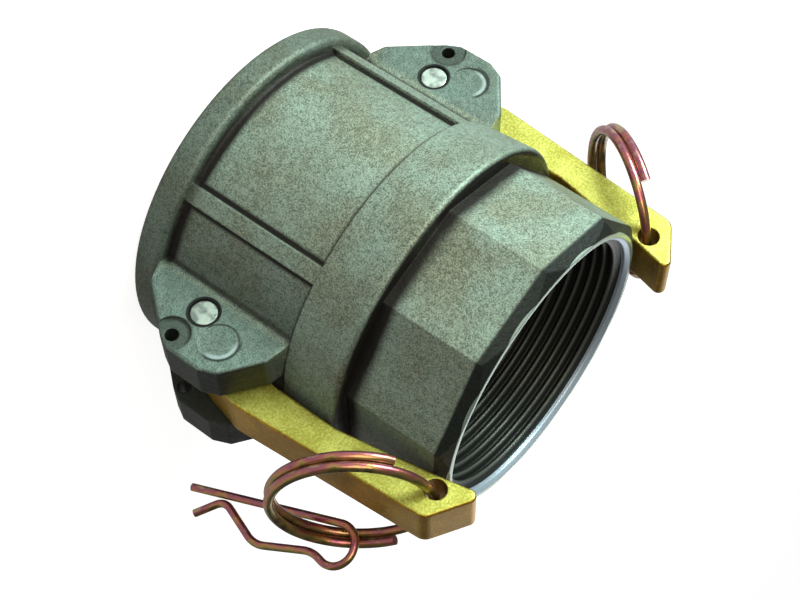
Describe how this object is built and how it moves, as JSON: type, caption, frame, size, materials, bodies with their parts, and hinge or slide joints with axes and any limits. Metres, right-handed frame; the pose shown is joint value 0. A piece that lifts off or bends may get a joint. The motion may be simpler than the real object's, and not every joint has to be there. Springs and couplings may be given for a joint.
{
  "type": "cam and groove coupling",
  "caption": "Cam and groove hose coupling: cast coupler with a pair of cam arms, pull rings with safety clips, and a many-sided end with an internal pipe thread.",
  "frame": {"origin": "centre of the cam bore's mouth, in the plane of the coupling's cam end face", "axes": "+Z along the bore axis from the cam end to the threaded end, +X toward the right arm, +Y along the arms' pivot pins"},
  "size_m": [0.1176, 0.0813, 0.0844],
  "materials": {
    "cast_aluminium": "tumbled cast surface, machined bores",
    "nitrile": "matte",
    "pin_steel": "ground, chamfered ends",
    "brass": "tumbled forging",
    "yellow_plated_wire": "yellow passivated zinc plating"
  },
  "bodies": {
    "coupler": {"coupler_casting": "cast_aluminium", "gasket": "nitrile", "pivot_pin_right": "pin_steel", "pivot_pin_left": "pin_steel"},
    "arm_right": {"cam_arm_right": "brass"},
    "arm_left": {"cam_arm_left": "brass"},
    "ring_right": {"pull_ring_right": "yellow_plated_wire"},
    "ring_left": {"pull_ring_left": "yellow_plated_wire"},
    "clip_right": {"safety_clip_right": "yellow_plated_wire"},
    "clip_left": {"safety_clip_left": "yellow_plated_wire"}
  },
  "joints": [
    {"name": "arm_right_hinge", "type": "hinge", "parent": "coupler", "child": "arm_right", "pos_m": [0.0372, 0, 0.02075], "axis": [0, 1, 0], "range_deg": [0, 110]},
    {"name": "arm_left_hinge", "type": "hinge", "parent": "coupler", "child": "arm_left", "pos_m": [-0.0372, 0, 0.02075], "axis": [0, -1, 0], "range_deg": [0, 110]},
    {"name": "ring_right_swing", "type": "hinge", "parent": "arm_right", "child": "ring_right", "pos_m": [0.03645, 0, 0.07725], "axis": [0, -1, 0], "range_deg": [-12, 150]},
    {"name": "ring_left_swing", "type": "hinge", "parent": "arm_left", "child": "ring_left", "pos_m": [-0.03645, 0, 0.07725], "axis": [0, 1, 0], "range_deg": [-12, 150]},
    {"name": "clip_right_swing", "type": "hinge", "parent": "ring_right", "child": "clip_right", "pos_m": [0.04889, -0.01713, 0.06016], "axis": [0.5552, 0.3859, -0.7368], "range_deg": [-140, 50]},
    {"name": "clip_left_swing", "type": "hinge", "parent": "ring_left", "child": "clip_left", "pos_m": [-0.05074, -0.01433, 0.05891], "axis": [-0.5391, 0.4446, -0.7153], "range_deg": [-20, 140]}
  ]
}
